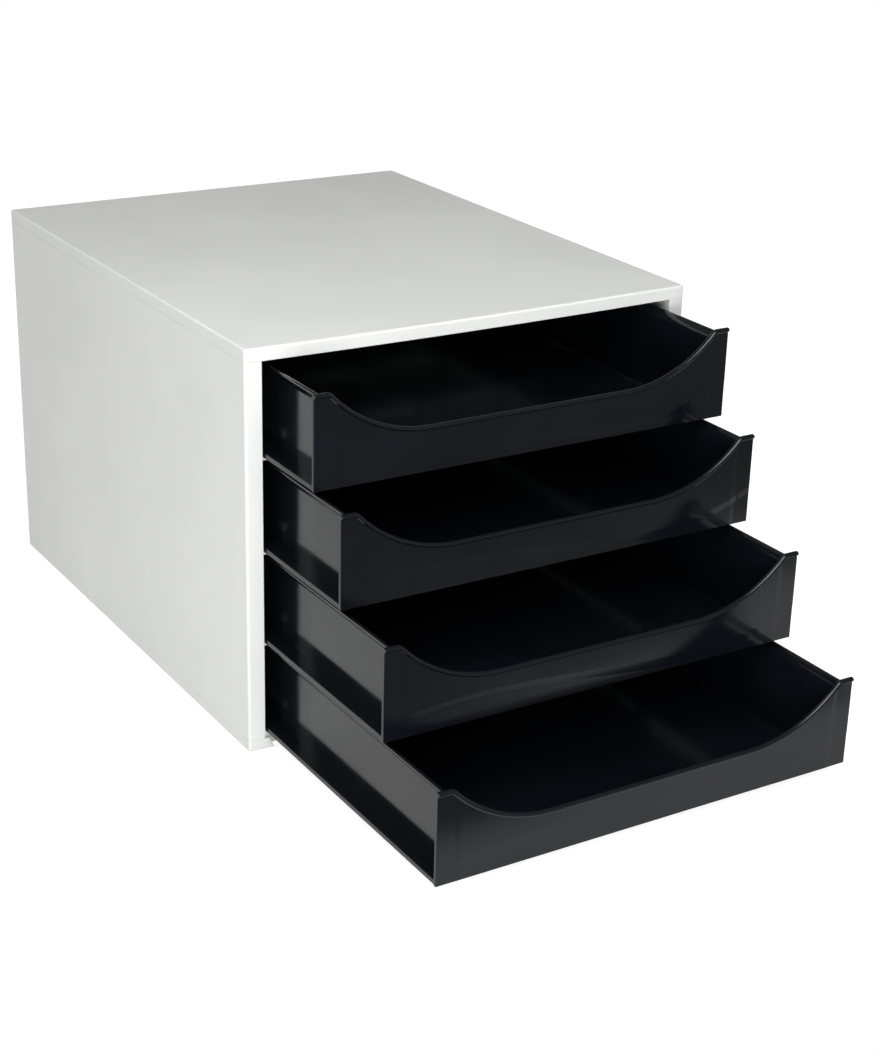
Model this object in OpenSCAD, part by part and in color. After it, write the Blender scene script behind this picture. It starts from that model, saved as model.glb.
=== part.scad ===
// Desk-top letter tray stack: a moulded housing of five clipped panels with four
// open trays that slide on side runners.
// Frame: +X right, +Y to the back, +Z up; the origin is on the desk, under the middle of
// the housing, and the foot pads stand on the desk.

/* [Housing] */
// Width of the housing
body_w = 284; // [240:1:340]
// Depth of the housing at its corners
body_d = 342; // [300:1:400]
// Height from the desk to the cover's top
body_h = 235; // [226:1:300]
// How far the front edges of the cover and base bow forward at the middle
front_bow = 3; // [1:0.5:8]
// Height of the cover's edge above the seam
cover_h = 7.5; // [6:0.5:12]
// Height of the base's edge below the seam
base_h = 6.5; // [5:0.5:10]
// Wall thickness of every housing panel
skin = 2.5; // [2:0.1:3.5]
// Radius of the housing's upright corners
corner_r = 1.5; // [0.5:0.5:3]
// Chamfer on the top edge of the cover
edge_chamfer = 1; // [0.5:0.1:2]

/* [Side panels] */
// Width of the front upright on each side panel
stile_w = 10; // [8:0.5:14]
// Depth of that upright
stile_d = 12; // [8:0.5:20]
// Thickness of a runner rib
runner_t = 2.2; // [1.6:0.1:3]
// How far a runner rib reaches in past the front upright
runner_reach = 4; // [3:0.5:6]
// Width of the upright rib that holds the back panel's edge
cleat_w = 8; // [5:0.5:12]
// Thickness of that rib and of the rear flange
cleat_t = 2; // [1.5:0.1:3]

/* [Drawers] */
// Height of the lowest runner above the desk
runner_z = 11; // [10:0.5:15]
// Height from one runner to the next
pitch = 54.2; // [53:0.1:60]
// Height of a drawer's front
front_h = 52.4; // [46:0.1:52.8]
// Thickness of a drawer's front
front_t = 2.2; // [1.6:0.1:3]
// How far the front hangs below the drawer's ledge
front_drop = 0.6; // [0.5:0.1:1.5]
// Gap between the drawer's front and each upright
front_gap = 0.8; // [0.5:0.1:1.5]
// Length of a drawer from its front face to its back face
drawer_d = 332; // [290:1:334]
// Height of a drawer's walls above its underside
wall_h = 49.5; // [40:0.5:49.5]
// Thickness of a drawer's walls and floor
wall_t = 1.8; // [1.4:0.1:2.4]
// Thickness of the ledge along each side
ledge_t = 3; // [2:0.1:3.4]
// From the front's end to a side wall
wall_inset = 9.7; // [8:0.1:14]
// How far a side wall's rim flares out past the wall
rim_out = 5; // [3:0.1:6]
// Height of that flare
rim_h = 7; // [5:0.5:8]
// Running gap between a drawer's ledge and its runner
slide_gap = 0.2; // [0.1:0.05:0.3]

/* [Front cut-out] */
// Height of the cut-out's straight bottom above the front's lower edge
cut_h = 25.8; // [18:0.5:34]
// Half length of the straight bottom
cut_half = 62; // [40:1:70]
// Radius of the curve that rises to each horn
cut_r = 80; // [60:1:90]
// Radius of the round at each horn's tip
horn_r = 5; // [2:0.5:8]
// Depth of the lip along the front's top edge
lip_h = 2.2; // [1.5:0.1:3]
// How far that lip stands forward
lip_out = 1.1; // [0.6:0.1:3]

/* [Front relief] */
// How far the front's middle panel stands forward of its two ends
panel_out = 0.2; // [0.1:0.1:0.8]
// Width of each end, beside the middle panel
panel_inset = 12; // [6:1:20]
// How far the panel's part under the wave line lies behind its upper part
wave_in = 0.3; // [0.2:0.1:0.8]
// Place of the wave line's crest, from the front's middle
crest_x = -78; // [-90:1:-40]
// Height of the crest above the front's lower edge
crest_h = 14; // [10:0.5:20]
// Radius of the wave line from the crest to the left end
crest_r = 233; // [150:1:400]
// Place of the wave line's dip
dip_x = 66; // [30:1:90]
// Height of the dip
dip_h = 4.8; // [3:0.2:9]
// Radius of the wave line from the dip to the right end
dip_r = 150; // [130:1:400]

/* [Pulled out] */
// How far the top drawer is pulled out
pull_1 = 56; // [0:1:200]
// How far the second drawer is pulled out
pull_2 = 85; // [0:1:200]
// How far the third drawer is pulled out
pull_3 = 130; // [0:1:200]
// How far the lowest drawer is pulled out
pull_4 = 183; // [0:1:200]
// Longest pull before the stop holds the drawer
travel = 240; // [210:1:260]

/* [Stops and clips] */
// Thickness of the stop block and of the lug that meets it, along the travel
stop_t = 6; // [4:0.5:8]
// Height of the stop's lower face above the runner
stop_z = 4; // [3:0.5:6]
// Height of the stop block
stop_h = 4; // [3:0.5:6]
// Width of the stop lug on the drawer's ledge
lug_w = 3.2; // [2:0.1:4]
// Length of a snap tongue along the panel
clip_l = 20; // [12:1:30]
// How far a snap tongue passes the seam
clip_h = 10; // [8:0.5:14]
// Thickness of a snap tongue
clip_t = 2; // [1.5:0.1:3]
// Overlap of a tongue's hook and the catch
clip_hook = 1.2; // [0.8:0.1:2]
// Clearance round clips and panel edges
clip_gap = 0.2; // [0.1:0.05:0.3]
// Distance from the middle clip to the outer clips
clip_step = 120; // [80:1:130]

/* [Base and feet] */
// How far the base's front is set back between its runners
base_recess = 5; // [2:0.5:8]
// How much narrower that set-back part is at its foot, on each side
base_slant = 3; // [0:0.5:5]
// Diameter of a foot pad
foot_d = 18; // [12:1:24]
// Thickness of a foot pad
foot_t = 1.8; // [1.4:0.1:2.6]
// How far a pad stands below the base
foot_out = 1; // [0.6:0.1:1.2]
// From the housing's sides to a pad's middle
foot_inset = 22; // [18:1:40]
// Height of the stiffening ribs inside the cover and base
stiffener_h = 3; // [2:0.5:4]
// Thickness of the stiffening ribs
stiffener_t = 1.6; // [1.2:0.1:2.4]

/* [Hidden] */

shell_colour = [0.86, 0.87, 0.86];
drawer_colour = [0.06, 0.065, 0.08];
rubber_colour = [0.12, 0.12, 0.12];

half_w = body_w / 2;
front_y = -body_d / 2;
back_y = body_d / 2;
seam_top = body_h - cover_h;
base_top = foot_out + base_h;
panel_h = seam_top - base_top;
wall_in = half_w - skin;                       // inner face of a side panel's skin
open_half = half_w - stile_w;                  // half width of the front opening
runner_in = open_half - runner_reach;          // inner edge of a runner rib
bow_r = (half_w * half_w + front_bow * front_bow) / (2 * front_bow);
over = 1;                                      // how far a solid reaches into or past another
bite = 0.01;                                   // overlap of two solids of one piece
spare = 0.3;                                   // play at either end of a drawer's travel

front_half = open_half - front_gap;            // half width of a drawer's front and ledge
wall_half = front_half - wall_inset;           // outer half width between the side walls
rim_half = wall_half + rim_out;                // outer half width at the walls' rims
cleat_y = back_y - cleat_t - skin - 2 * clip_gap;  // rear face of the back panel's cleats
runner_front = front_y + front_t + spare;      // runners start just behind a closed front
runner_back = cleat_y - cleat_t - clip_gap;    // rear end of the base's raised runners
stile_y = front_y + stile_d;                   // rear face of the front uprights
stop_set = 1;                                  // from the upright back to the stop block
stop_y = stile_y + stop_set;                   // front face of the stop block
lug_y = stop_y + stop_t + spare + travel;      // front face of the lug on a closed drawer
pulls = [pull_1, pull_2, pull_3, pull_4];
wave_steps = 48;                               // straight steps along the wave line
panel_half = front_half - panel_inset;         // half width of the front's middle panel
hook_h = 3;                                    // height of a tongue's hook
tongue_in = wall_in - clip_gap - clip_hook - clip_t;  // inner face of a tongue
catch_t = 1.5;                                 // thickness of the catch it snaps behind
catch_z = clip_h - hook_h - clip_gap - catch_t;  // how far the catch is from the seam
catch_over = 2;                                // how far a catch passes each end of a tongue

// Plan of the housing with rounded corners and the bowed front edge
module plan(inset = 0) {
    w = half_w - inset;
    b = back_y - inset;
    f = front_y + inset;
    intersection() {
        union() {
            translate([-w, f + corner_r]) square([2 * w, b - f - 2 * corner_r]);
            translate([-w + corner_r, f - front_bow])
                square([2 * w - 2 * corner_r, b - f + front_bow]);
            for (x = [-w + corner_r, w - corner_r], y = [f + corner_r, b - corner_r])
                translate([x, y]) circle(r = corner_r, $fn = 48);
        }
        translate([0, f - front_bow + bow_r]) circle(r = bow_r, $fn = 2400);
    }
}

// Snap tongue that rises from z = 0; side is 1 on the right and -1 on the left
module tongue(side) {
    scale([side, 1, 1]) translate([tongue_in, -clip_l / 2, -over]) {
        cube([clip_t, clip_l, clip_h + over]);
        translate([0, 0, over + clip_h - hook_h]) cube([clip_t + clip_hook, clip_l, hook_h]);
    }
}

// The three tongues of one side, along the depth
module tongues() {
    for (side = [-1, 1], y = [-clip_step, 0, clip_step])
        translate([0, y, 0]) tongue(side);
}

// Ribs that stiffen a wide panel, standing on z = 0
module stiffeners() {
    rib_x = runner_in - skin;
    for (x = [-rib_x / 2, 0, rib_x / 2])
        translate([x - stiffener_t / 2, front_y + 2 * stile_d, 0])
            cube([stiffener_t, body_d - 4 * stile_d, stiffener_h]);
    for (y = [-body_d / 4, 0, body_d / 4])
        translate([-rib_x, y - stiffener_t / 2, 0])
            cube([2 * rib_x, stiffener_t, stiffener_h]);
}

// Lid with a skirt all round, three snap tongues a side and stiffening ribs
module top_cover() {
    color(shell_colour) {
        difference() {
            union() {
                translate([0, 0, seam_top])
                    linear_extrude(cover_h - edge_chamfer) plan();
                translate([0, 0, body_h - edge_chamfer - bite])
                    linear_extrude(edge_chamfer + bite) plan(edge_chamfer / 2);
            }
            translate([0, 0, seam_top - over])
                linear_extrude(cover_h - skin + over)
                    square([2 * wall_in, body_d - 2 * skin], center = true);
        }
        translate([0, 0, body_h - skin - stiffener_h]) stiffeners();
        translate([0, 0, seam_top]) mirror([0, 0, 1]) tongues();
        // roots of the tongues, up to the underside of the lid
        for (side = [-1, 1], y = [-clip_step, 0, clip_step])
            translate([side * (tongue_in + clip_t / 2) - clip_t / 2, y - clip_l / 2,
                       seam_top - over])
                cube([clip_t, clip_l, cover_h - skin + 2 * over]);
    }
}

// Tray-shaped bottom with a raised runner on each side for the lowest drawer
module base_plate() {
    recess_top = runner_in + base_slant / 2;
    recess_foot = runner_in - base_slant / 2;
    color(shell_colour)
        translate([0, 0, foot_out]) {
            difference() {
                union() {
                    linear_extrude(base_h) plan();
                    base_runners();
                }
                // hollow between the side runners
                translate([-runner_in + skin, front_y + base_recess + skin, skin])
                    cube([2 * (runner_in - skin),
                          body_d - base_recess - 2 * skin, runner_z]);
                // set-back front edge with slanted ends
                translate([0, front_y + base_recess, 0])
                    rotate([90, 0, 0])
                        linear_extrude(base_recess + front_bow + over)
                            polygon([[-recess_foot, -bite], [recess_foot, -bite],
                                     [recess_top, base_h + bite],
                                     [-recess_top, base_h + bite]]);
                // round seats of the foot pads
                foot_places() translate([0, 0, -over])
                    cylinder(r = foot_d / 2 + clip_gap, h = foot_t - foot_out + over, $fn = 64);
            }
            translate([0, 0, skin]) stiffeners();
            translate([0, 0, base_h]) tongues();
        }
}

// Raised runners of the lowest drawer, set clear of the side panels' uprights and cleats
module base_runners() {
    for (side = [-1, 1])
        scale([side, 1, 1])
            translate([0, 0, base_h - bite])
                linear_extrude(runner_z - base_top + bite)
                    polygon([[runner_in, runner_front],
                             [open_half - clip_gap, runner_front],
                             [open_half - clip_gap, stile_y + clip_gap],
                             [wall_in - clip_gap, stile_y + clip_gap],
                             [wall_in - clip_gap, runner_back],
                             [runner_in, runner_back]]);
}

// Skin with front upright, runner ribs, rear cleats, stop blocks and clip catches
module side_panel() {
    color(shell_colour)
        translate([0, 0, base_top]) {
            // skin, with the outer corners of the plan
            linear_extrude(panel_h)
                intersection() {
                    plan();
                    translate([wall_in, front_y - front_bow])
                        square([skin, body_d + front_bow]);
                }
            // hollow front upright
            linear_extrude(panel_h)
                difference() {
                    intersection() {
                        plan();
                        translate([open_half, front_y - front_bow])
                            square([stile_w, stile_d + front_bow]);
                    }
                    translate([open_half + skin, front_y + skin])
                        square([stile_w - 2 * skin, stile_d]);
                }
            // rear flange and cleat that hold the back panel between them
            for (y = [back_y - cleat_t, cleat_y - cleat_t])
                translate([wall_in - cleat_w, y, 0])
                    cube([cleat_w + over, cleat_t, panel_h]);
            // runner ribs of the three upper drawers
            for (i = [1 : 3])
                translate([runner_in, runner_front, runner_z + i * pitch - runner_t - base_top])
                    cube([wall_in - runner_in + over, cleat_y - cleat_t - runner_front, runner_t]);
            // stop blocks above every runner
            for (i = [0 : 3])
                translate([front_half - lug_w / 2, stop_y,
                           runner_z + i * pitch + stop_z - base_top])
                    cube([wall_in - front_half + lug_w / 2 + over, stop_t, stop_h]);
            // catches that the hooks of the cover and base snap behind
            for (y = [-clip_step, 0, clip_step], z = [catch_z, panel_h - catch_z - catch_t])
                translate([wall_in - clip_hook, y - clip_l / 2 - catch_over, z])
                    cube([clip_hook + over, clip_l + 2 * catch_over, catch_t]);
        }
}

// Plate between the side panels' rear flanges and cleats
module back_panel() {
    color(shell_colour)
        translate([-wall_in + clip_gap, cleat_y + clip_gap, base_top + clip_gap])
            cube([2 * (wall_in - clip_gap), skin, panel_h - 2 * clip_gap]);
}

// Outline of a drawer's front: two horns with a wide curved cut-out between them
module front_outline() {
    difference() {
        translate([-front_half, 0]) square([2 * front_half, front_h]);
        translate([-cut_half, cut_h]) square([2 * cut_half, front_h]);
        for (x = [-cut_half, cut_half])
            translate([x, cut_h + cut_r]) circle(r = cut_r, $fn = 240);
        for (side = [-1, 1])
            scale([side, 1]) horn_round();
    }
}

// What the round takes off the right horn's tip: it touches the curve and the top
module horn_round() {
    rise = cut_h + cut_r - front_h;
    reach = sqrt(pow(cut_r + horn_r, 2) - pow(rise + horn_r, 2));
    part = cut_r / (cut_r + horn_r);
    tip = sqrt(cut_r * cut_r - rise * rise);
    difference() {
        polygon([[cut_half + part * reach, cut_h + cut_r - part * (rise + horn_r)],
                 [cut_half + reach, front_h], [cut_half + reach, front_h + over],
                 [cut_half + tip, front_h + over]]);
        translate([cut_half + reach, front_h - horn_r]) circle(r = horn_r, $fn = 96);
    }
}

// Height of the wave line at x: a round crest, a swing down and a round dip
function wave_h(x) =
    x < crest_x ? crest_h - crest_r + sqrt(crest_r * crest_r - pow(x - crest_x, 2)) :
    x > dip_x ? dip_h + dip_r - sqrt(dip_r * dip_r - pow(x - dip_x, 2)) :
    (crest_h + dip_h) / 2
        + (crest_h - dip_h) / 2 * cos(180 * (x - crest_x) / (dip_x - crest_x));

// Middle panel of the front, between its two ends
module middle_panel() {
    linear_extrude(panel_out + bite)
        intersection() {
            front_outline();
            translate([-panel_half, 0]) square([2 * panel_half, front_h]);
        }
}

// Part of the front under the wave line
module under_wave() {
    polygon([[-panel_half, -over],
             for (k = [0 : wave_steps])
                 let (x = -panel_half + k * (panel_half + front_half) / wave_steps)
                     [x, wave_h(x)],
             [front_half + over, wave_h(front_half)], [front_half + over, -over]]);
}

// Front plate with its relief and the lip along its top edge
module drawer_front() {
    translate([0, front_y + front_t, -front_drop])
        rotate([90, 0, 0]) {
            difference() {
                union() {
                    linear_extrude(front_t) front_outline();
                    translate([0, 0, front_t - bite]) middle_panel();
                }
                translate([0, 0, front_t + panel_out - wave_in])
                    linear_extrude(wave_in + over) under_wave();
            }
            translate([0, 0, front_t - bite])
                linear_extrude(lip_out + bite)
                    difference() {
                        front_outline();
                        translate([0, -lip_h]) front_outline();
                    }
        }
}

// Section of a drawer's right side: ledge, upright wall and flared rim
module side_section() {
    polygon([[wall_half - wall_t, 0], [front_half, 0], [front_half, ledge_t],
             [wall_half, ledge_t], [wall_half, wall_h - rim_h],
             [rim_half, wall_h - wall_t], [rim_half, wall_h],
             [rim_half - wall_t, wall_h], [wall_half - wall_t, wall_h - rim_h + wall_t]]);
}

// One drawer, closed, with its underside at z = 0
module drawer() {
    inner_d = drawer_d - front_t;
    color(drawer_colour) {
        drawer_front();
        // floor
        translate([-wall_half, front_y + front_t - bite, 0])
            cube([2 * wall_half, inner_d + bite, wall_t]);
        // ledges and side walls with flared rims
        for (side = [-1, 1])
            scale([side, 1, 1])
                translate([0, front_y + drawer_d, 0])
                    rotate([90, 0, 0])
                        linear_extrude(inner_d + bite) side_section();
        // back wall
        translate([0, front_y + drawer_d, 0])
            rotate([90, 0, 0])
                linear_extrude(wall_t)
                    polygon([[-wall_half, 0], [wall_half, 0], [wall_half, wall_h - rim_h],
                             [rim_half, wall_h - wall_t], [rim_half, wall_h],
                             [-rim_half, wall_h], [-rim_half, wall_h - wall_t],
                             [-wall_half, wall_h - rim_h]]);
        // stop lugs on the ledges
        for (side = [-1, 1])
            scale([side, 1, 1])
                translate([front_half - lug_w, lug_y, ledge_t - bite])
                    cube([lug_w, stop_t, stop_z + stop_h - slide_gap - ledge_t]);
    }
}

// Drawer i from the top, pulled out as far as it stands
module placed_drawer(i) {
    translate([0, -pulls[i], runner_z + (3 - i) * pitch + slide_gap]) drawer();
}

// The four places of the foot pads
module foot_places() {
    for (x = [-1, 1], y = [-1, 1])
        translate([x * (half_w - foot_inset), y * (body_d / 2 - foot_inset), 0]) children();
}

// One foot pad, seated in the base
module foot(x, y) {
    color(rubber_colour)
        translate([x * (half_w - foot_inset), y * (body_d / 2 - foot_inset), 0])
            cylinder(r = foot_d / 2, h = foot_t, $fn = 64);
}

module left_side_panel() { mirror([1, 0, 0]) side_panel(); }
module right_side_panel() { side_panel(); }

top_cover();
base_plate();
left_side_panel();
right_side_panel();
back_panel();
placed_drawer(0);  // drawer_1
placed_drawer(1);  // drawer_2
placed_drawer(2);  // drawer_3
placed_drawer(3);  // drawer_4
foot(-1, -1);  // foot_front_left
foot(1, -1);  // foot_front_right
foot(-1, 1);  // foot_rear_left
foot(1, 1);  // foot_rear_right
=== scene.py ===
"""Letter tray stack: a pale moulded housing with four black trays on side runners.

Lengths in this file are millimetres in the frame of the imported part: +X right, +Y back,
+Z up, the origin on the desk under the middle of the housing. MM turns them into metres.
"""

import math

import bmesh
import bpy
from mathutils import Matrix, Vector


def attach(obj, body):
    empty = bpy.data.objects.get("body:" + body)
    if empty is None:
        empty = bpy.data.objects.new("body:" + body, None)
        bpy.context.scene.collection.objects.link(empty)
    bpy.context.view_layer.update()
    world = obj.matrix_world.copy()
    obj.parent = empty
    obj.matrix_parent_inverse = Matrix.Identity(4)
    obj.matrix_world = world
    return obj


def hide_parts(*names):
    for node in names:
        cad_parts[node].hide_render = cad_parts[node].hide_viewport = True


MM = 0.001

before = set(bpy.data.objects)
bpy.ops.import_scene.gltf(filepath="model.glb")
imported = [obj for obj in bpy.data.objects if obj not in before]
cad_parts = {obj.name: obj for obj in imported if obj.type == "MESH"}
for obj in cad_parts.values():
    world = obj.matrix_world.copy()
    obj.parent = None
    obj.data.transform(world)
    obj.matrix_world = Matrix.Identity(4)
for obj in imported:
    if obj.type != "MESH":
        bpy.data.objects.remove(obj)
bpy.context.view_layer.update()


# ---------------------------------------------------------------- camera

# fitted to the photograph: place in millimetres, directions, and picture sizes in pixels
EYE = (-582.24, -1080.85, 547.96)
LOOK_RIGHT = (0.852848, -0.521529, 0.025844)
LOOK_UP = (0.175795, 0.333365, 0.926264)
LOOK_BACK = (-0.491687, -0.785420, 0.375987)
PICTURE_W, PICTURE_H = 880, 1056
FOCAL_PIXELS = 2039.77
MIDDLE_U, MIDDLE_V = 452.47, 526.54
SENSOR = 36.0


def make_camera():
    """The camera at the photograph's place, with the picture's middle off its axis."""
    data = bpy.data.cameras.new("camera")
    data.sensor_width = SENSOR
    data.sensor_fit = "AUTO"
    data.lens = FOCAL_PIXELS * SENSOR / PICTURE_H
    data.shift_x = (PICTURE_W / 2 - MIDDLE_U) / PICTURE_H
    data.shift_y = (MIDDLE_V - PICTURE_H / 2) / PICTURE_H
    data.clip_start, data.clip_end = 0.05, 50.0
    camera = bpy.data.objects.new("camera", data)
    bpy.context.scene.collection.objects.link(camera)
    turn = Matrix((LOOK_RIGHT, LOOK_UP, LOOK_BACK)).transposed()
    camera.matrix_world = Matrix.Translation(Vector(EYE) * MM) @ turn.to_4x4()
    bpy.context.scene.camera = camera
    bpy.context.scene.view_settings.view_transform = "Standard"


# ---------------------------------------------------------------- bench tools

# angles in degrees above which an edge shades as a crease, on small and large pieces
SMALL_CREASE, LARGE_CREASE = 40, 50


def middle(part):
    """Middle of a vertex, edge or face, in millimetres."""
    if isinstance(part, bmesh.types.BMVert):
        return part.co / MM
    if isinstance(part, bmesh.types.BMEdge):
        return (part.verts[0].co + part.verts[1].co) / 2 / MM
    return part.calc_center_median() / MM


def pick(kind, test):
    """Selects, on the piece in edit mode, only the parts that pass test(middle, part)."""
    bpy.ops.mesh.select_mode(type=kind)
    bpy.ops.mesh.select_all(action="DESELECT")
    mesh = bpy.context.edit_object.data
    shape = bmesh.from_edit_mesh(mesh)
    for part in {"VERT": shape.verts, "EDGE": shape.edges, "FACE": shape.faces}[kind]:
        if test(middle(part), part):
            part.select_set(True)
    shape.select_flush_mode()
    bmesh.update_edit_mesh(mesh)


def near(a, b, tolerance=0.02):
    """Whether two lengths are the same but for rounding."""
    return abs(a - b) < tolerance


def move(x=0.0, y=0.0, z=0.0):
    """Shifts what is selected."""
    bpy.ops.transform.translate(value=(x * MM, y * MM, z * MM))


def extrude(x=0.0, y=0.0, z=0.0):
    """Extrudes what is selected and shifts what that makes."""
    bpy.ops.mesh.extrude_region_move(
        TRANSFORM_OT_translate={"value": (x * MM, y * MM, z * MM)}
    )


def scale(x=1.0, y=1.0, z=1.0, about=(0, 0, 0)):
    """Scales what is selected about a point."""
    bpy.ops.transform.resize(
        value=(x, y, z), center_override=tuple(c * MM for c in about)
    )


def cut(place, direction, **how):
    """Bisects what is selected with a plane."""
    bpy.ops.mesh.bisect(
        plane_co=tuple(c * MM for c in place), plane_no=direction, threshold=1e-6, **how
    )


def soften(width, segments=3):
    """Bevels the selected edges."""
    bpy.ops.mesh.bevel(
        offset=width * MM, segments=segments, affect="EDGES", clamp_overlap=True
    )


def begin(name, add, **how):
    """Adds a primitive, names it and goes to edit mode."""
    bpy.ops.object.select_all(action="DESELECT")
    add(**how)
    piece = bpy.context.object
    piece.name = piece.data.name = name
    bpy.ops.object.transform_apply(location=True, rotation=True, scale=True)
    bpy.ops.object.mode_set(mode="EDIT")
    return piece


def block(name, low, high):
    """A block between two corners, in edit mode."""
    centre = [(a + b) / 2 * MM for a, b in zip(low, high)]
    size = [(b - a) * MM for a, b in zip(low, high)]
    return begin(
        name, bpy.ops.mesh.primitive_cube_add, size=1, location=centre, scale=size
    )


def trace(name, points, closed=True):
    """Draws a line through points by extruding one vertex along them, in edit mode."""
    piece = begin(name, bpy.ops.mesh.primitive_plane_add, size=MM)
    pick("VERT", lambda m, v: True)
    bpy.ops.mesh.merge(type="CENTER")
    pick("VERT", lambda m, v: True)
    first = points[0]
    move(*first)
    for a, b in zip(points, points[1:]):
        step = [q - p for p, q in zip(a, b)]
        bpy.ops.mesh.extrude_vertices_move(
            TRANSFORM_OT_translate={"value": [s * MM for s in step]}
        )
    if closed:
        pick("VERT", lambda m, v: len(v.link_edges) < 2)
        bpy.ops.mesh.edge_face_add()
    return piece


def slab(name, outline, z_low, z_high):
    """A plate of any outline, drawn at its foot and raised, in edit mode."""
    piece = trace(name, [(x, y, z_low) for x, y in outline])
    pick("EDGE", lambda m, e: True)
    bpy.ops.mesh.edge_face_add()
    pick("FACE", lambda m, f: True)
    extrude(z=z_high - z_low)
    face_outwards()
    return piece


def face_outwards():
    """Merges doubles and turns every face outwards."""
    bpy.ops.mesh.select_mode(type="VERT")
    bpy.ops.mesh.select_all(action="SELECT")
    bpy.ops.mesh.remove_doubles(threshold=1e-7)
    bpy.ops.mesh.select_all(action="SELECT")
    bpy.ops.mesh.normals_make_consistent(inside=False)


def close_work(piece, angle=SMALL_CREASE):
    """Leaves edit mode with faces outwards and edges sharper than angle kept crisp."""
    face_outwards()
    bpy.ops.object.mode_set(mode="OBJECT")
    bpy.ops.object.select_all(action="DESELECT")
    piece.select_set(True)
    bpy.context.view_layer.objects.active = piece
    bpy.ops.object.shade_smooth_by_angle(angle=math.radians(angle))
    return piece


def keep_flats(piece):
    """Stores normals that follow the large faces, so bevels shade softly beside flats."""
    bpy.ops.object.select_all(action="DESELECT")
    piece.select_set(True)
    bpy.context.view_layer.objects.active = piece
    weigh = piece.modifiers.new("flats", "WEIGHTED_NORMAL")
    weigh.keep_sharp = True
    weigh.weight = 100
    bpy.ops.object.modifier_apply(modifier="flats")
    return piece


def join(name, pieces):
    """Makes one piece of several, each of which stays a closed body in it."""
    bpy.ops.object.select_all(action="DESELECT")
    for piece in pieces:
        piece.select_set(True)
    bpy.context.view_layer.objects.active = pieces[0]
    bpy.ops.object.join()
    pieces[0].name = pieces[0].data.name = name
    return pieces[0]


def soft_block(name, low, high, width=0.3, segments=2):
    """A small moulded block with all its edges rounded."""
    piece = block(name, low, high)
    pick("EDGE", lambda m, e: True)
    soften(width, segments)
    return close_work(piece)


def twin(piece, name, shift=(0, 0, 0), mirror=False):
    """A copy with its own mesh, moved in its mesh, and turned left for right if asked."""
    copy = piece.copy()
    copy.data = piece.data.copy()
    copy.name = copy.data.name = name
    bpy.context.scene.collection.objects.link(copy)
    copy.data.transform(Matrix.Translation(Vector(shift) * MM))
    if mirror:
        bpy.ops.object.select_all(action="DESELECT")
        copy.select_set(True)
        bpy.context.view_layer.objects.active = copy
        bpy.ops.mesh.customdata_custom_splitnormals_clear()
        copy.data.transform(Matrix.Scale(-1, 4, (1, 0, 0)))
        bpy.ops.object.mode_set(mode="EDIT")
        close_work(copy, LARGE_CREASE)
        keep_flats(copy)
    return copy


def arc(centre, radius, start, end, steps):
    """Points on an arc, angles in degrees."""
    return [
        (
            centre[0] + radius * math.cos(math.radians(start + (end - start) * k / steps)),
            centre[1] + radius * math.sin(math.radians(start + (end - start) * k / steps)),
        )
        for k in range(steps + 1)
    ]


# ---------------------------------------------------------------- sizes

# housing: half its width, its corners' front and back, and the heights of its seams
HALF_W, FRONT, BACK = 142.0, -171.0, 171.0
TOP, SEAM_TOP, BASE_TOP, BASE_FOOT = 235.0, 227.5, 7.5, 1.0
# how far the front edge bows forward, the skin's thickness and the upright corners' radius
BOW, SKIN, CORNER = 3.0, 2.5, 1.5
WALL_IN = HALF_W - SKIN
# clearance where pieces clip together, and how far a joined form runs into its piece
GAP, ROOT = 0.2, 0.3
UPRIGHT_W, UPRIGHT_D = 10.0, 12.0
OPEN_HALF = HALF_W - UPRIGHT_W
# the back panel's flanges and cleats
CLEAT_W, CLEAT_T, CLEAT_BACK = 8.0, 2.0, 166.1
# runners: inner edge, thickness, ends, the lowest one's top, and the drawers' pitch
RUNNER_IN, RUNNER_T = 128.0, 2.2
RUNNER_FRONT, RUNNER_BACK = -168.5, CLEAT_BACK - CLEAT_T
RUNNER_Z, PITCH = 11.0, 54.2
# roundings: the cover's top edge, the base's foot, the runners' edges and the seams
TOP_ROUND, FOOT_ROUND, RUNNER_ROUND, SEAM_ROUND = 1.3, 0.8, 0.45, 0.35
# stops behind the uprights: inner face, front, depth, height above the runner, height
STOP_IN, STOP_FRONT, STOP_D, STOP_RISE, STOP_H = 129.6, -158.0, 6.0, 4.0, 4.0
# snap tongues and the catches that hold them
SNAP_PLACES = (-120, 0, 120)
TONGUE_HALF_W, TONGUE_T, TONGUE_REACH = 10.0, 2.0, 10.0
HOOK_OUT, HOOK_H = 1.2, 3.0
CATCH_HALF_W, CATCH_H, CATCH_OUT, CATCH_RISE = 12.0, 1.5, 1.2, 5.3
# stiffening ribs: half thickness, height and distance from the housing's ends
RIB_HALF_T, RIB_H, RIB_INSET = 0.8, 3.0, 24.0
# pads: middle, radius and thickness
PAD_X, PAD_Y, PAD_R, PAD_T = 120.0, 149.0, 9.0, 1.8
# how far each drawer stands out, from the top one down, and a drawer's full travel
PULLS = (56.0, 85.0, 130.0, 183.0)
TRAVEL = 240.0


def bow_y(x):
    """Front edge of the housing's plan."""
    radius = (HALF_W**2 + BOW**2) / (2 * BOW)
    return FRONT - BOW + radius - math.sqrt(radius**2 - x**2)


# ---------------------------------------------------------------- housing

FRONT_STEPS = 24


def plan_outline():
    """The cover's outline, anticlockwise from the front left corner."""
    w, r = HALF_W - CORNER, CORNER
    front = [
        (-w + 2 * w * k / FRONT_STEPS, bow_y(-w + 2 * w * k / FRONT_STEPS))
        for k in range(FRONT_STEPS + 1)
    ]
    return (
        front
        + arc((w, FRONT + r), r, -90, 0, 4)[1:]
        + arc((w, BACK - r), r, 0, 90, 4)
        + arc((-w, BACK - r), r, 90, 180, 4)
        + arc((-w, FRONT + r), r, 180, 270, 4)[:-1]
    )


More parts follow.
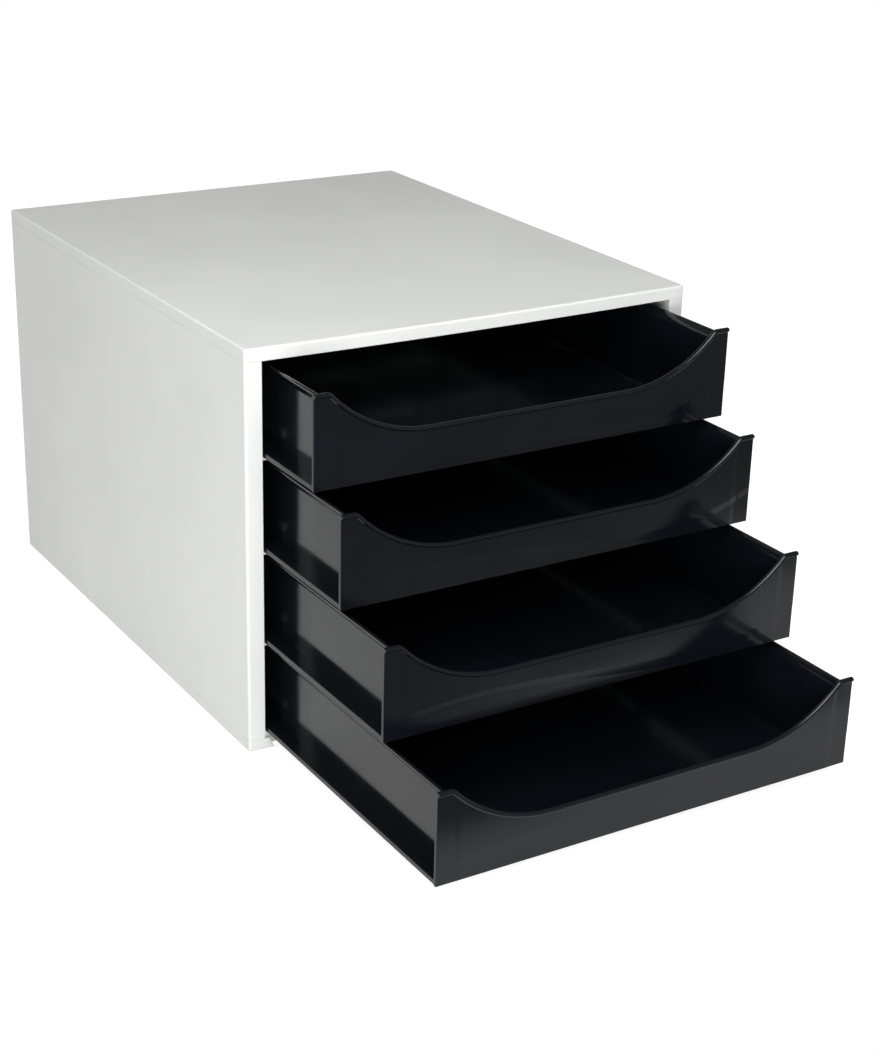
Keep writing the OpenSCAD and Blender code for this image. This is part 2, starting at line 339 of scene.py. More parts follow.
def tongue(name, side, y, foot, tip):
    """Snap tongue with a hook at its tip, from foot to tip in height."""
    inner = WALL_IN - GAP - HOOK_OUT - TONGUE_T
    up = 1 if tip > foot else -1
    parts = []
    for reach, start, rounding in (
        (TONGUE_T, foot, 0.3),
        (TONGUE_T + HOOK_OUT, tip - up * HOOK_H, 0.6),
    ):
        x_low, x_high = sorted((side * inner, side * (inner + reach)))
        low, high = sorted((start, tip))
        corner = (x_low, y - TONGUE_HALF_W, low)
        parts.append(soft_block(name, corner, (x_high, y + TONGUE_HALF_W, high), rounding))
    return parts


def stiffeners(name, low, high):
    """Crossed ribs inside a wide panel."""
    half, reach = RIB_HALF_T, RUNNER_IN - SKIN
    front, back = FRONT + RIB_INSET, BACK - RIB_INSET
    spans = [((x - half, front), (x + half, back)) for x in (-reach / 2, 0, reach / 2)]
    spans += [((-reach, y - half), (reach, y + half)) for y in (-BACK / 2, 0, BACK / 2)]
    return [soft_block(name, (*a, low), (*b, high), 0.25, 1) for a, b in spans]


def make_cover():
    """Lid with a rounded top edge, hollow below, with ribs and snap tongues."""
    lid = slab("lid", plan_outline(), SEAM_TOP, TOP)
    pick("FACE", lambda m, f: f.normal.z < -0.9)
    bpy.ops.mesh.inset(thickness=SKIN * MM)
    extrude(z=TOP - SKIN - SEAM_TOP)
    pick("EDGE", lambda m, e: near(m.z, TOP) and len(e.link_faces) == 2)
    soften(TOP_ROUND, 5)
    pick(
        "EDGE",
        lambda m, e: near(m.z, SEAM_TOP)
        and any(f.normal.z > -0.5 and f.calc_area() > 0 for f in e.link_faces),
    )
    soften(SEAM_ROUND, 2)
    close_work(lid, LARGE_CREASE)
    keep_flats(lid)
    ceiling = TOP - SKIN
    parts = [lid] + stiffeners("rib", ceiling - RIB_H, ceiling + ROOT)
    for side in (-1, 1):
        for y in SNAP_PLACES:
            parts += tongue("tongue", side, y, ceiling + ROOT, SEAM_TOP - TONGUE_REACH)
    return join("cover", parts)


def make_side():
    """Right side panel: skin, hollow upright, runner ribs, stops, catches and cleats."""
    r = CORNER
    outline = (
        [(OPEN_HALF, bow_y(OPEN_HALF)), (HALF_W - r, bow_y(HALF_W - r))]
        + arc((HALF_W - r, FRONT + r), r, -90, 0, 6)[1:]
        + arc((HALF_W - r, BACK - r), r, 0, 90, 6)
        + [
            (WALL_IN - CLEAT_W, BACK),
            (WALL_IN - CLEAT_W, BACK - CLEAT_T),
            (WALL_IN, BACK - CLEAT_T),
            (WALL_IN, CLEAT_BACK),
            (WALL_IN - CLEAT_W, CLEAT_BACK),
            (WALL_IN - CLEAT_W, CLEAT_BACK - CLEAT_T),
            (WALL_IN, CLEAT_BACK - CLEAT_T),
            (WALL_IN, FRONT + SKIN),
            (OPEN_HALF + SKIN, FRONT + SKIN),
            (OPEN_HALF + SKIN, FRONT + UPRIGHT_D),
            (OPEN_HALF, FRONT + UPRIGHT_D),
        ]
    )
    skin = slab("skin", outline, BASE_TOP, SEAM_TOP)
    corners = [p for p in outline if abs(p[0] - HALF_W) > CORNER + 0.1]
    pick(
        "EDGE",
        lambda m, e: near(m.z, (BASE_TOP + SEAM_TOP) / 2)
        and any(near(m.x, x) and near(m.y, y) for x, y in corners),
    )
    soften(0.5, 3)
    pick("EDGE", lambda m, e: near(m.z, BASE_TOP) or near(m.z, SEAM_TOP))
    soften(SEAM_ROUND, 2)
    close_work(skin, LARGE_CREASE)
    keep_flats(skin)
    parts = [skin]
    # ribs, stops and catches run 1 mm into the skin
    in_skin = WALL_IN + 1
    for i in range(1, 4):
        top = RUNNER_Z + i * PITCH
        rib = block(
            "runner",
            (RUNNER_IN, RUNNER_FRONT, top - RUNNER_T),
            (in_skin, RUNNER_BACK, top),
        )
        pick("EDGE", lambda m, e: near(m.x, RUNNER_IN) or near(m.y, RUNNER_FRONT))
        soften(RUNNER_ROUND, 3)
        parts.append(close_work(rib))
    for i in range(4):
        low = RUNNER_Z + i * PITCH + STOP_RISE
        corner = (STOP_IN, STOP_FRONT, low)
        parts.append(
            soft_block("stop", corner, (in_skin, STOP_FRONT + STOP_D, low + STOP_H), 0.5)
        )
    for y in SNAP_PLACES:
        for low in (BASE_TOP + CATCH_RISE, SEAM_TOP - CATCH_RISE - CATCH_H):
            corner = (WALL_IN - CATCH_OUT, y - CATCH_HALF_W, low)
            parts.append(
                soft_block("catch", corner, (in_skin, y + CATCH_HALF_W, low + CATCH_H))
            )
    return join("side_right", parts)


def make_base():
    """Shallow bottom with raised runners and a front edge set back between two toes."""
    recess_y = FRONT + 5.0
    toe_slope = 1.5
    top_x, foot_x = RUNNER_IN + toe_slope, RUNNER_IN - toe_slope
    w, r = HALF_W - CORNER, CORNER
    outline = (
        [(-w, bow_y(w)), (-top_x, bow_y(top_x)), (-top_x, recess_y), (top_x, recess_y)]
        + [(top_x, bow_y(top_x)), (w, bow_y(w))]
        + arc((w, FRONT + r), r, -90, 0, 4)[1:]
        + arc((w, BACK - r), r, 0, 90, 4)
        + arc((-w, BACK - r), r, 90, 180, 4)
        + arc((-w, FRONT + r), r, 180, 270, 4)[:-1]
    )
    tray = slab("tray", outline, BASE_FOOT, BASE_TOP)
    for side in (-1, 1):
        pick(
            "VERT",
            lambda m, v: near(m.z, BASE_FOOT)
            and near(m.x, side * top_x)
            and m.y < recess_y + 0.1,
        )
        move(x=side * (foot_x - top_x))
    inner = RUNNER_IN - SKIN
    for place, direction in (
        ((-inner, 0, 0), (1, 0, 0)),
        ((inner, 0, 0), (1, 0, 0)),
        ((0, recess_y + SKIN, 0), (0, 1, 0)),
        ((0, BACK - SKIN, 0), (0, 1, 0)),
    ):
        pick("FACE", lambda m, f: f.normal.z > 0.9)
        cut(place, direction)
    pick(
        "FACE",
        lambda m, f: f.normal.z > 0.9
        and abs(m.x) < inner
        and recess_y + SKIN < m.y < BACK - SKIN,
    )
    extrude(z=BASE_FOOT + SKIN - BASE_TOP)
    pick(
        "EDGE",
        lambda m, e: near(m.z, BASE_FOOT)
        and any(abs(f.normal.z) < 0.7 for f in e.link_faces),
    )
    soften(FOOT_ROUND, 4)
    pick(
        "EDGE",
        lambda m, e: near(m.z, BASE_TOP)
        and len(e.link_faces) == 2
        and any(abs(f.normal.z) < 0.7 for f in e.link_faces),
    )
    soften(SEAM_ROUND, 2)
    close_work(tray, LARGE_CREASE)
    keep_flats(tray)
    floor_top, runner_root = BASE_FOOT + SKIN, BASE_TOP - 0.5
    parts = [tray] + stiffeners("rib", floor_top - ROOT, floor_top + RIB_H)
    for side in (-1, 1):
        outline = [
            (RUNNER_IN, RUNNER_FRONT),
            (OPEN_HALF - GAP, RUNNER_FRONT),
            (OPEN_HALF - GAP, FRONT + UPRIGHT_D + GAP),
            (WALL_IN - GAP, FRONT + UPRIGHT_D + GAP),
            (WALL_IN - GAP, RUNNER_BACK - GAP),
            (RUNNER_IN, RUNNER_BACK - GAP),
        ]
        if side < 0:
            outline = [(-x, y) for x, y in reversed(outline)]
        runner = slab("runner", outline, runner_root, RUNNER_Z)
        pick("EDGE", lambda m, e: near(m.z, RUNNER_Z) and len(e.link_faces) == 2)
        soften(RUNNER_ROUND, 3)
        parts.append(close_work(runner))
        for y in SNAP_PLACES:
            parts += tongue("tongue", side, y, runner_root, BASE_TOP + TONGUE_REACH)
    return join("base", parts)


def make_back():
    """Plate held between the side panels' flanges, with a shallow sunk field behind."""
    half = WALL_IN - GAP
    plate = block(
        "back",
        (-half, CLEAT_BACK + GAP, BASE_TOP + GAP),
        (half, BACK - CLEAT_T - GAP, SEAM_TOP - GAP),
    )
    rim, slope, sink = 14.0, 1.2, 0.6
    pick("FACE", lambda m, f: f.normal.y > 0.9)
    bpy.ops.mesh.inset(thickness=rim * MM)
    bpy.ops.mesh.inset(thickness=slope * MM, depth=-sink * MM)
    pick("EDGE", lambda m, e: True)
    soften(0.3, 2)
    close_work(plate)
    return keep_flats(plate)


def make_foot(name, x, y):
    """Round rubber pad with a rounded rim and a shallow ring-shaped groove under it."""
    pad = begin(
        name,
        bpy.ops.mesh.primitive_cylinder_add,
        vertices=64,
        radius=PAD_R * MM,
        depth=PAD_T * MM,
        location=(x * MM, y * MM, PAD_T / 2 * MM),
    )
    pick("FACE", lambda m, f: f.normal.z < -0.9)
    for width, rise in ((2.2, 0), (0.5, -0.4), (1.6, 0), (0.5, 0.4)):
        bpy.ops.mesh.inset(thickness=width * MM, depth=rise * MM)
    pick(
        "EDGE",
        lambda m, e: (near(m.z, 0) or near(m.z, PAD_T))
        and math.hypot(m.x - x, m.y - y) > PAD_R - 0.5,
    )
    soften(0.35, 3)
    return close_work(pad)


# ---------------------------------------------------------------- drawer

# front plate: half width, height, thickness, and how far it hangs below the tray's floor
FRONT_HALF = 131.2
FRONT_H, FRONT_T, FRONT_DROP = 52.4, 2.2, 0.6
# its cut-out: height of the straight bottom, half that length, and the curves' radii
CUT_H, CUT_HALF, CUT_R, HORN_R = 25.8, 62.0, 80.0, 5.0
STRAIGHT_STEPS, ARC_STEPS, HORN_STEPS = 14, 14, 7
# lip: how far it stands forward, its round nose, and the cove below it, down from its top
LIP_OUT = 1.1
NOSE_H, NOSE_STEPS = 1.25, 10
LIP_EDGE, COVE, COVE_STEPS = 1.8, 2.9, 5
# tray: depth from the front's face, wall height and thickness, and half its width at the
# walls and at the rims, which flare over their height; the ledges' thickness
TRAY_D, WALL_H, WALL_T = 332.0, 49.5, 1.8
WALL_HALF, RIM_HALF, RIM_H = 121.5, 126.5, 7.0
LEDGE_T = 3.0
# roundings: its rear corners, its floor's inner edge and the rims' edges
REAR_R, FLOOR_R, RIM_ROUND = 5.0, 2.2, 0.5
# stop lugs on the ledges: width, depth, top, and what is left before they meet the stops
LUG_W, LUG_D, LUG_TOP, STOP_PLAY = 3.2, 6.0, 7.8, 0.3
LUG_FRONT = STOP_FRONT + STOP_D + TRAVEL + STOP_PLAY
# end posts: outer end and width of the slope to the panel, which stands forward
POST_OUTER, POST_SLOPE, POST_STEPS = 121.6, 4.2, 6
PANEL_OUT = 0.16
# wave line: its crest at the left and trough at the right, as (x, height, radius)
CREST, TROUGH = (-78.0, 14.0, 233.0), (66.0, 4.8, 150.0)
# width of the slope along it: at its ends, its swell with place and reach, its right end
WAVE_W, SWELL, SWELL_X, SWELL_REACH = 2.7, 2.5, 30.0, 62.0
FAN, FAN_START, FAN_REACH = 1.2, 60.0, 70.0
# how steeply that slope runs back
WAVE_SLOPE = 0.032


def wave_height(x):
    """Middle height of the shallow wave across a drawer's front."""
    (crest_x, crest_h, crest_r), (trough_x, trough_h, trough_r) = CREST, TROUGH
    if x < crest_x:
        return crest_h - crest_r + math.sqrt(crest_r**2 - (x - crest_x) ** 2)
    if x > trough_x:
        return trough_h + trough_r - math.sqrt(trough_r**2 - (x - trough_x) ** 2)
    turn = math.pi * (x - crest_x) / (trough_x - crest_x)
    return (crest_h + trough_h) / 2 + (crest_h - trough_h) / 2 * math.cos(turn)


def wave_width(x):
    """Height of the slope between the wave's upper and lower line."""
    swell = SWELL * math.exp(-(((x - SWELL_X) / SWELL_REACH) ** 2))
    return WAVE_W + swell + FAN * max(0, (x - FAN_START) / FAN_REACH)


def smooth_step(part):
    """Share from 0 to 1 that starts and ends gently."""
    part = min(max(part, 0), 1)
    return part * part * (3 - 2 * part)


def lip_section():
    """Section of the front's top edge: (depth behind the front face, distance in)."""
    centre, half = (FRONT_T - LIP_OUT) / 2, (FRONT_T + LIP_OUT) / 2
    nose = []
    for k in range(NOSE_STEPS + 1):
        turn = math.pi * k / NOSE_STEPS
        nose.append((centre + half * math.cos(turn), NOSE_H * (1 - math.sin(turn))))
    cove = []
    for k in range(COVE_STEPS + 1):
        part = k / COVE_STEPS
        depth = -LIP_OUT * (1 - part) ** 1.7
        cove.append((depth, LIP_EDGE + (COVE - LIP_EDGE) * part))
    return [(FRONT_T, COVE)] + nose + cove


def sweep_round(centre_x, centre_z, angle, steps):
    """Turns the selected end of the lip about an upright circle's middle."""
    bpy.ops.mesh.spin(
        steps=steps,
        angle=math.radians(-angle),
        center=(centre_x * MM, 0, centre_z * MM),
        axis=(0, 1, 0),
        use_auto_merge=False,
    )


def make_front():
    """Front plate of a closed drawer: swept lip, plate below it, wave and end posts."""
    rise = CUT_H + CUT_R - FRONT_H + HORN_R
    reach = math.sqrt((CUT_R + HORN_R) ** 2 - rise**2)
    turn = math.degrees(math.atan2(reach, rise))
    horn_x = CUT_HALF + reach
    foot = -FRONT_DROP
    section = [(-FRONT_HALF, FRONT + d, foot + FRONT_H - n) for d, n in lip_section()]
    plate = trace("front", section, closed=False)
    pick("EDGE", lambda m, e: True)
    shoulder = (FRONT_HALF - horn_x) / 2
    extrude(x=shoulder)
    extrude(x=shoulder)
    sweep_round(-horn_x, foot + FRONT_H - HORN_R, turn, HORN_STEPS)
    sweep_round(-CUT_HALF, foot + CUT_H + CUT_R, -turn, ARC_STEPS)
    for _ in range(STRAIGHT_STEPS):
        extrude(x=2 * CUT_HALF / STRAIGHT_STEPS)
    sweep_round(CUT_HALF, foot + CUT_H + CUT_R, -turn, ARC_STEPS)
    sweep_round(horn_x, foot + FRONT_H - HORN_R, turn, HORN_STEPS)
    extrude(x=shoulder)
    extrude(x=shoulder)
    # the plate goes straight down from the lip to the front's lower edge
    pick(
        "EDGE",
        lambda m, e: len(e.link_faces) == 1
        and (near(m.y, FRONT) or near(m.y, FRONT + FRONT_T))
        and abs(m.x) < FRONT_HALF - 0.01,
    )
    extrude(z=-1)
    scale(z=0, about=(0, 0, foot))
    pick("EDGE", lambda m, e: len(e.link_faces) == 1 and near(m.z, foot))
    bpy.ops.mesh.bridge_edge_loops()
    for side in (-1, 1):
        pick(
            "EDGE",
            lambda m, e: len(e.link_faces) == 1 and near(m.x, side * FRONT_HALF),
        )
        bpy.ops.mesh.edge_face_add()
    close_work(plate)
    bpy.ops.object.mode_set(mode="EDIT")
    shape_relief(foot)
    pick(
        "EDGE",
        lambda m, e: near(m.z, foot)
        and any(abs(f.normal.y) > 0.5 for f in e.link_faces),
    )
    soften(0.4, 2)
    pick(
        "EDGE",
        lambda m, e: near(abs(m.x), FRONT_HALF)
        and len(e.link_faces) == 2
        and any(abs(f.normal.x) < 0.5 for f in e.link_faces)
        and any(abs(f.normal.x) > 0.9 for f in e.link_faces),
    )
    soften(0.3, 2)
    close_work(plate, LARGE_CREASE)
    return keep_flats(plate)


def shape_relief(foot):
    """Steps the front's middle forward between soft end posts, and back below a wave."""

    def on_face(m, f):
        return f.normal.y < -0.99 and m.z < foot + FRONT_H - COVE and m.y < FRONT + 0.1

    def is_front(m):
        return FRONT - LIP_OUT - 0.01 < m.y < FRONT + 0.01

    def post_step(m):
        part = (POST_OUTER - abs(m.x)) / POST_SLOPE
        return round(min(max(part, 0), 1) * POST_STEPS)

    def below_wave(m):
        return m.z - foot < wave_height(m.x) - 0.5 * wave_width(m.x) + 0.05

    # upright cuts through the posts' slopes, and then the wave's two lines between the
    # columns of vertices that the swept lip has given the plate
    for k in range(POST_STEPS + 1):
        for side in (-1, 1):
            pick("FACE", lambda m, f: True)
            cut((side * (POST_OUTER - POST_SLOPE * k / POST_STEPS), 0, 0), (1, 0, 0))
    shape = bmesh.from_edit_mesh(bpy.context.edit_object.data)
    columns = sorted(
        {
            round(v.co.x / MM, 3)
            for v in shape.verts
            if near(v.co.z / MM, foot) and near(v.co.y / MM, FRONT)
        }
    )
    columns = [a for a, b in zip(columns, columns[1:] + [1e9]) if b - a > 0.01]
    for part in (0.5, -0.5):
        for a, b in zip(columns, columns[1:]):
            if b < -POST_OUTER + 0.01:
                continue
            pick("FACE", lambda m, f: on_face(m, f) and a < m.x < b)
            high_a = foot + wave_height(a) + part * wave_width(a)
            high_b = foot + wave_height(b) + part * wave_width(b)
            cut((a, 0, high_a), Vector((high_a - high_b, 0, b - a)).normalized())
    # the panel comes forward, and what lies under the wave goes back
    for k in range(1, POST_STEPS + 1):
        share = smooth_step(k / POST_STEPS)
        pick("VERT", lambda m, v: is_front(m) and post_step(m) == k)
        scale(y=1 - PANEL_OUT * share / LIP_OUT, about=(0, FRONT - LIP_OUT, 0))
    for x in columns:
        share = smooth_step((x + POST_OUTER) / POST_SLOPE)
        pick("VERT", lambda m, v: is_front(m) and near(m.x, x, 0.01) and below_wave(m))
        move(y=WAVE_SLOPE * wave_width(x) * share)
    for part in (0.5, -0.5):
        pick(
            "EDGE",
            lambda m, e: m.x > -POST_OUTER
            and m.y < FRONT + 0.5
            and abs(e.verts[1].co.x - e.verts[0].co.x) > 0.3 * MM
            and all(
                near(
                    v.co.z / MM - foot,
                    wave_height(v.co.x / MM) + part * wave_width(v.co.x / MM),
                    0.05,
                )
                for v in e.verts
            ),
        )
        soften(0.25, 2)


def make_tray():
    """Open tray with upright walls, flared rims, ledges and rounded rear corners."""
    front, rear = FRONT + FRONT_T - ROOT, FRONT + TRAY_D
    offcut = 6
    tray = block("tray", (-WALL_HALF, front - offcut, 0), (WALL_HALF, rear, WALL_H))
    pick("EDGE", lambda m, e: near(m.y, rear) and near(m.z, WALL_H / 2))
    soften(REAR_R, 8)
    # the upper part of the walls flares outwards at the sides
    crease = WALL_H - RIM_H
    for height in (crease, WALL_H - WALL_T):
        pick("FACE", lambda m, f: abs(f.normal.z) < 0.5)
        cut((0, 0, height), (0, 0, 1))
    pick("VERT", lambda m, v: m.z > WALL_H - WALL_T - 0.1)
    scale(x=RIM_HALF / WALL_HALF)
    pick("EDGE", lambda m, e: near(m.z, crease) and near(abs(m.x), WALL_HALF))
    soften(0.3, 2)
    # hollow it, first down the flare and then straight down to the floor
    pick("FACE", lambda m, f: f.normal.z > 0.9)
    bpy.ops.mesh.inset(thickness=WALL_T * MM)
    extrude(z=WALL_T - RIM_H)
    scale(x=(WALL_HALF - WALL_T) / (RIM_HALF - WALL_T))
    extrude(z=-crease)
    # inner edge of the floor
    pick(
        "EDGE",
        lambda m, e: near(m.z, WALL_T)
        and any(f.normal.z > 0.9 for f in e.link_faces)
        and any(f.normal.z < 0.7 for f in e.link_faces),
    )
    soften(FLOOR_R, 5)
    # the rims of the walls
    pick(
        "EDGE",
        lambda m, e: near(m.z, WALL_H)
        and any(f.normal.z > 0.9 for f in e.link_faces)
        and any(f.normal.z < 0.7 for f in e.link_faces),
    )
    soften(RIM_ROUND, 3)
    # ledges grow out of the side walls' feet
    for side in (-1, 1):
        pick("FACE", lambda m, f: side * f.normal.x > 0.5 and near(side * m.x, WALL_HALF, 1))
        cut((0, 0, LEDGE_T), (0, 0, 1))
        pick(
            "FACE",
            lambda m, f: side * f.normal.x > 0.9
            and side * m.x > WALL_HALF - 1
            and m.z < LEDGE_T,
        )
        extrude(x=side * (FRONT_HALF - WALL_HALF))
        scale(x=0, about=(side * FRONT_HALF, 0, 0))
        pick(
            "EDGE",
            lambda m, e: near(m.x, side * FRONT_HALF) and abs(m.z - LEDGE_T / 2) > 0.5,
        )
        soften(0.4, 3)
        pick(
            "EDGE",
            lambda m, e: near(m.z, LEDGE_T)
            and near(side * m.x, WALL_HALF, 0.1)
            and m.y < rear - REAR_R - 1,
        )
        soften(0.15, 2)
    # the front end is cut off, where the tray runs into the front plate
    pick("FACE", lambda m, f: True)
    cut((0, front, 0), (0, 1, 0), clear_inner=True, use_fill=True)
    close_work(tray, LARGE_CREASE)
    keep_flats(tray)
    parts = [tray]
    for side in (-1, 1):
        x_low, x_high = sorted((side * (FRONT_HALF - LUG_W), side * FRONT_HALF))
        corner = (x_low, LUG_FRONT, LEDGE_T - 0.4)
        parts.append(
            soft_block("lug", corner, (x_high, LUG_FRONT + LUG_D, LUG_TOP), 0.4)
        )
    return parts


def make_drawers():
    """One drawer, modelled closed, and its four copies at their own pulls."""
    first = join("drawer", [make_front()] + make_tray())
    made = []
    for i, pull in enumerate(PULLS):
        shift = (0, -pull, RUNNER_Z + (3 - i) * PITCH + GAP)
        made.append(twin(first, f"tray_{i + 1}", shift))
    bpy.data.objects.remove(first)
    return made


# ---------------------------------------------------------------- finishes


class Wire:
    """An output of a node, usable in Python sums."""

    def __init__(self, finish, socket):
        self.finish, self.socket = finish, socket

    def __getitem__(self, name):
        return Wire(self.finish, self.socket.node.outputs[name])

    def _sum(self, operation, first, second):
        return self.finish.node(
            "ShaderNodeMath", {"operation": operation}, {0: first, 1: second}
        )

    def __add__(self, other):
        return self._sum("ADD", self, other)

    def __sub__(self, other):
        return self._sum("SUBTRACT", self, other)

    def __rsub__(self, other):
        return self._sum("SUBTRACT", other, self)

    def __mul__(self, other):
        return self._sum("MULTIPLY", self, other)

    __radd__ = __add__
    __rmul__ = __mul__


class Finish:
    """A material or world whose nodes are added one at a time."""

    def __init__(self, owner):
        owner.use_nodes = True
        self.tree = owner.node_tree
        self.tree.nodes.clear()

    def node(self, kind, settings=None, sockets=None):
        """Adds a node: its type, its settings, and its sockets' values or links."""
        made = self.tree.nodes.new(kind)
        for name, value in (settings or {}).items():
            setattr(made, name, value)
        for name, value in (sockets or {}).items():
            if isinstance(value, Wire):
                self.tree.links.new(value.socket, made.inputs[name])
            else:
                made.inputs[name].default_value = value
        return Wire(self, made.outputs[0]) if made.outputs else None

    def noise(self, place, size, detail=2.0, roughness=0.5):
        """Noise whose lumps are about size millimetres across."""
        return self.node(
            "ShaderNodeTexNoise",
            {},
            {
                "Vector": place,
                "Scale": 1 / (size * MM),
                "Detail": detail,
                "Roughness": roughness,
            },
        )

    def spread(self, value, low, high, new_low=0.0, new_high=1.0):
        """Maps a value from one range to another and holds it at the ends."""
        return self.node(
            "ShaderNodeMapRange",
            {"clamp": True},
            {
                "Value": value,
                "From Min": low,
                "From Max": high,
                "To Min": new_low,
                "To Max": new_high,
            },
        )

    def blend(self, factor, first, second):
        """Mixes two colours."""
        return self.node(
            "ShaderNodeMix",
            {"data_type": "RGBA"},
            {"Factor": factor, 6: first, 7: second},
        )[2]

    def output(self, **sockets):
        self.node("ShaderNodeOutputMaterial", {}, sockets)


def colour(r, g, b):
    return (r, g, b, 1.0)


def shell_finish():
    """Pale satin polystyrene with a fine spark-eroded grain and faint flow shading."""
    owner = bpy.data.materials.new("shell_satin")
    f = Finish(owner)
    place = f.node("ShaderNodeTexCoord")["Object"]
    flow = f.noise(place, 90, 2.0)
    grain = f.noise(place, 0.45, 3.0, 0.6)
    handled = f.noise(place, 28, 4.0, 0.6)
    tone = f.blend(
        f.spread(flow, 0.35, 0.65),
        colour(0.735, 0.745, 0.725),
        colour(0.765, 0.775, 0.76),
    )
    rough = f.spread(handled, 0.3, 0.7, 0.40, 0.50)
    bump = f.node(
        "ShaderNodeBump",
        {},
        {"Strength": 0.10, "Distance": 0.06 * MM, "Height": grain},
    )
    shader = f.node(
        "ShaderNodeBsdfPrincipled",
        {},
        {"Base Color": tone, "Roughness": rough, "Normal": bump, "IOR": 1.5},
    )
    f.output(Surface=shader)
    return owner


def drawer_finish():
    """Glossy black polystyrene, cool in cast, with flow haze, a faint ripple and dust
    flecks.
    """
    owner = bpy.data.materials.new("drawer_gloss")
    f = Finish(owner)
    place = f.node("ShaderNodeTexCoord")["Object"]
    haze = f.noise(place, 60, 3.0, 0.6)
    ripple = f.noise(place, 22, 2.0, 0.5)
    fleck = f.noise(place, 1.6, 2.0, 0.6)
    dust = f.spread(fleck, 0.74, 0.80)
    tone = f.blend(
        f.spread(haze, 0.35, 0.7),
        colour(0.0034, 0.0039, 0.0058),
        colour(0.0050, 0.0057, 0.0084),
    )
    tone = f.blend(dust * 0.06, tone, colour(0.32, 0.33, 0.34))
    rough = f.spread(haze, 0.3, 0.7, 0.11, 0.16) + dust * 0.15
    bump = f.node(
        "ShaderNodeBump",
        {},
        {"Strength": 0.12, "Distance": 0.25 * MM, "Height": ripple},
    )
    shader = f.node(
        "ShaderNodeBsdfPrincipled",
        {},
        {"Base Color": tone, "Roughness": rough, "Normal": bump, "IOR": 1.5},
    )
    f.output(Surface=shader)
    return owner


def pad_finish():
    """Matt dark rubber with a fine grain."""
    owner = bpy.data.materials.new("pad_rubber")
    f = Finish(owner)
    place = f.node("ShaderNodeTexCoord")["Object"]
    grain = f.noise(place, 0.6, 3.0, 0.6)
    worn = f.noise(place, 5.0, 2.0)
    tone = f.blend(
        f.spread(worn, 0.35, 0.65),
        colour(0.026, 0.026, 0.027),
        colour(0.045, 0.045, 0.046),
    )
    bump = f.node(
        "ShaderNodeBump",
        {},
        {"Strength": 0.3, "Distance": 0.1 * MM, "Height": grain},
    )
    shader = f.node(
        "ShaderNodeBsdfPrincipled",
        {},
        {
            "Base Color": tone,
            "Roughness": f.spread(worn, 0.3, 0.7, 0.75, 0.9),
            "Normal": bump,
        },
    )
    f.output(Surface=shader)
    return owner


def floor_finish():
    """White studio table that fades out at its near edge; white to the camera."""
    owner = bpy.data.materials.new("studio_table")
    f = Finish(owner)
    paths = f.node("ShaderNodeLightPath")
    camera = paths["Is Camera Ray"]
    seen = camera + paths["Is Glossy Ray"] + paths["Is Transmission Ray"]
    lit = f.node(
        "ShaderNodeBsdfDiffuse", {}, {"Color": colour(0.5, 0.5, 0.5), "Roughness": 1.0}
    )
    level = seen * 0.22 + camera * 0.42 + 0.15
    glow = f.node(
        "ShaderNodeEmission", {}, {"Color": colour(1, 1, 1), "Strength": level}
    )
    table = f.node("ShaderNodeAddShader", {}, {0: lit, 1: glow})
    # lengths in metres: the edge lies further out to the right, and a weak rest of the
    # table shows before it
    spot = f.node("ShaderNodeTexCoord")["Object"]
    place = f.node("ShaderNodeSeparateXYZ", {}, {0: spot})
    depth = place["Y"] + f.spread(place["X"], -0.08, 0.16, 0.0, 0.018)
    depth = depth + f.spread(place["X"], 0.2, 0.26, 0.0, 0.06)
    rest = f.spread(depth, -0.54, -0.42, 0.0, 0.2) * f.spread(place["X"], -0.03, 0.04)
    solid = f.spread(depth, -0.42, -0.398, 0.0, 0.8) + rest
    whole = f.spread(depth, -0.395, -0.385, 0.0, 0.2)
    clear = f.node("ShaderNodeBsdfTransparent")
    faded = f.node("ShaderNodeMixShader", {}, {0: solid + whole, 1: clear, 2: table})
    f.output(Surface=faded)
    return owner


# ---------------------------------------------------------------- studio

# name, place and aim in millimetres, width and height in metres, and power in watts
LAMPS = (
    ("key", (-150, -1000, 760), (0, -120, 120), (0.5, 0.5), 4.0),
    ("low", (-470, -1100, 150), (0, -150, 110), (0.5, 0.4), 5.9),
    ("left", (-1400, -300, 250), (0, 0, 110), (0.8, 0.6), 3.4),
    ("over", (-300, -500, 900), (-40, -60, 200), (0.6, 0.6), 3.9),
)


def make_world():
    """White to the camera, soft light from above and the left, a dim band in gloss."""
    world = bpy.data.worlds.new("studio")
    bpy.context.scene.world = world
    f = Finish(world)
    paths = f.node("ShaderNodeLightPath")
    aim = f.node("ShaderNodeTexCoord")["Generated"]
    split = f.node("ShaderNodeSeparateXYZ", {}, {0: aim})
    strip = f.spread(split["Z"], -0.31, -0.2) * f.spread(split["Z"], 0.05, 0.4, 1.0, 0.0)
    gloss = strip * 0.15 + f.spread(split["Y"], -0.1, 0.6, 0.14, 0.17)
    camera = paths["Is Camera Ray"]
    shiny = paths["Is Glossy Ray"] + paths["Is Transmission Ray"]
    above = f.spread(split["Z"], 0.0, 1.0, 0.0, 0.47)
    beside = f.spread(split["X"], -1.0, 0.0, 0.30, 0.0)
    level = camera + shiny * gloss + (1 - camera - shiny) * (above + beside)
    glow = f.node(
        "ShaderNodeBackground", {}, {"Color": colour(1, 1, 1), "Strength": level}
    )
    f.node("ShaderNodeOutputWorld", {}, {"Surface": glow})


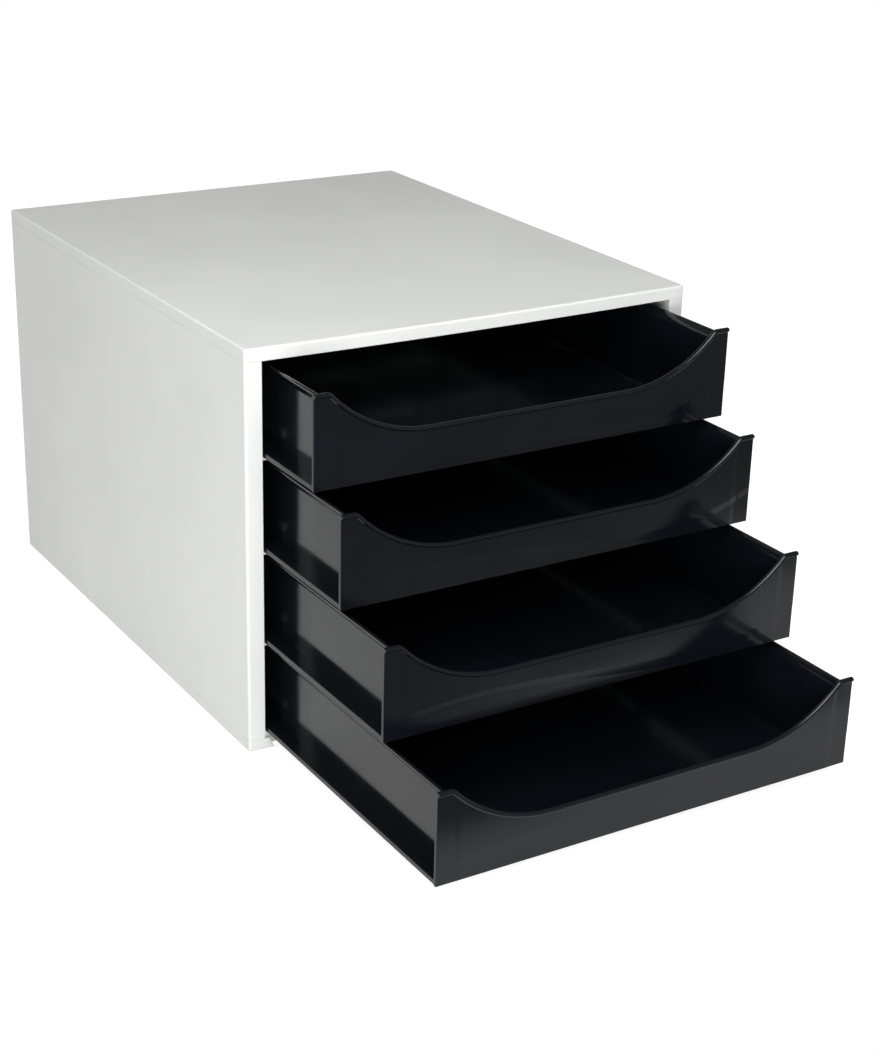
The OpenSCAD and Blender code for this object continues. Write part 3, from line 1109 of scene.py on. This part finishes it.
def make_lamp(name, place, target, size, power):
    """A rectangular lamp that faces its target."""
    data = bpy.data.lights.new(name, "AREA")
    data.shape = "RECTANGLE"
    data.size, data.size_y = size
    data.energy = power
    lamp = bpy.data.objects.new(name, data)
    bpy.context.scene.collection.objects.link(lamp)
    lamp.location = Vector(place) * MM
    aim = (Vector(target) - Vector(place)) * MM
    lamp.rotation_euler = aim.to_track_quat("-Z", "Y").to_euler()


def make_floor():
    """White table that ends close before the drawers, and further out at the right."""
    left, right, near_left, near_right, far = -1100, 1300, -540, -620, 1500
    step_from, step_to = 190, 260
    corners = ((left, near_left), (step_from, near_left), (step_to, near_right))
    corners += ((right, near_right), (right, far), (left, far))
    floor = trace("studio_table", [(x, y, 0) for x, y in corners])
    pick("EDGE", lambda m, e: True)
    bpy.ops.mesh.edge_face_add()
    pick("FACE", lambda m, f: True)
    if any(f.normal.z < 0 for f in bmesh.from_edit_mesh(floor.data).faces):
        bpy.ops.mesh.flip_normals()
    bpy.ops.object.mode_set(mode="OBJECT")
    floor.data.materials.append(floor_finish())


# ---------------------------------------------------------------- putting together


def place_piece(piece, finish, body, node):
    """Gives a piece its finish, its body and the node it stands for."""
    piece.data.materials.clear()
    piece.data.materials.append(finish)
    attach(piece, body)
    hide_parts(node)


make_camera()
make_world()
make_floor()
for name, place, target, size, power in LAMPS:
    make_lamp(name, place, target, size, power)

shell, gloss, rubber = shell_finish(), drawer_finish(), pad_finish()

cover = make_cover()
side_right = make_side()
side_left = twin(side_right, "side_left", mirror=True)
for piece, node in (
    (cover, "top_cover"),
    (make_base(), "base_plate"),
    (side_left, "left_side_panel"),
    (side_right, "right_side_panel"),
    (make_back(), "back_panel"),
):
    place_piece(piece, shell, "housing", node)

for row, y in (("front", -PAD_Y), ("rear", PAD_Y)):
    for column, x in (("left", -PAD_X), ("right", PAD_X)):
        pad = make_foot(f"pad_{row}_{column}", x, y)
        place_piece(pad, rubber, "housing", f"foot_{row}_{column}")

for i, drawer in enumerate(make_drawers()):
    place_piece(drawer, gloss, f"drawer_{i + 1}", f"drawer_{i + 1}")
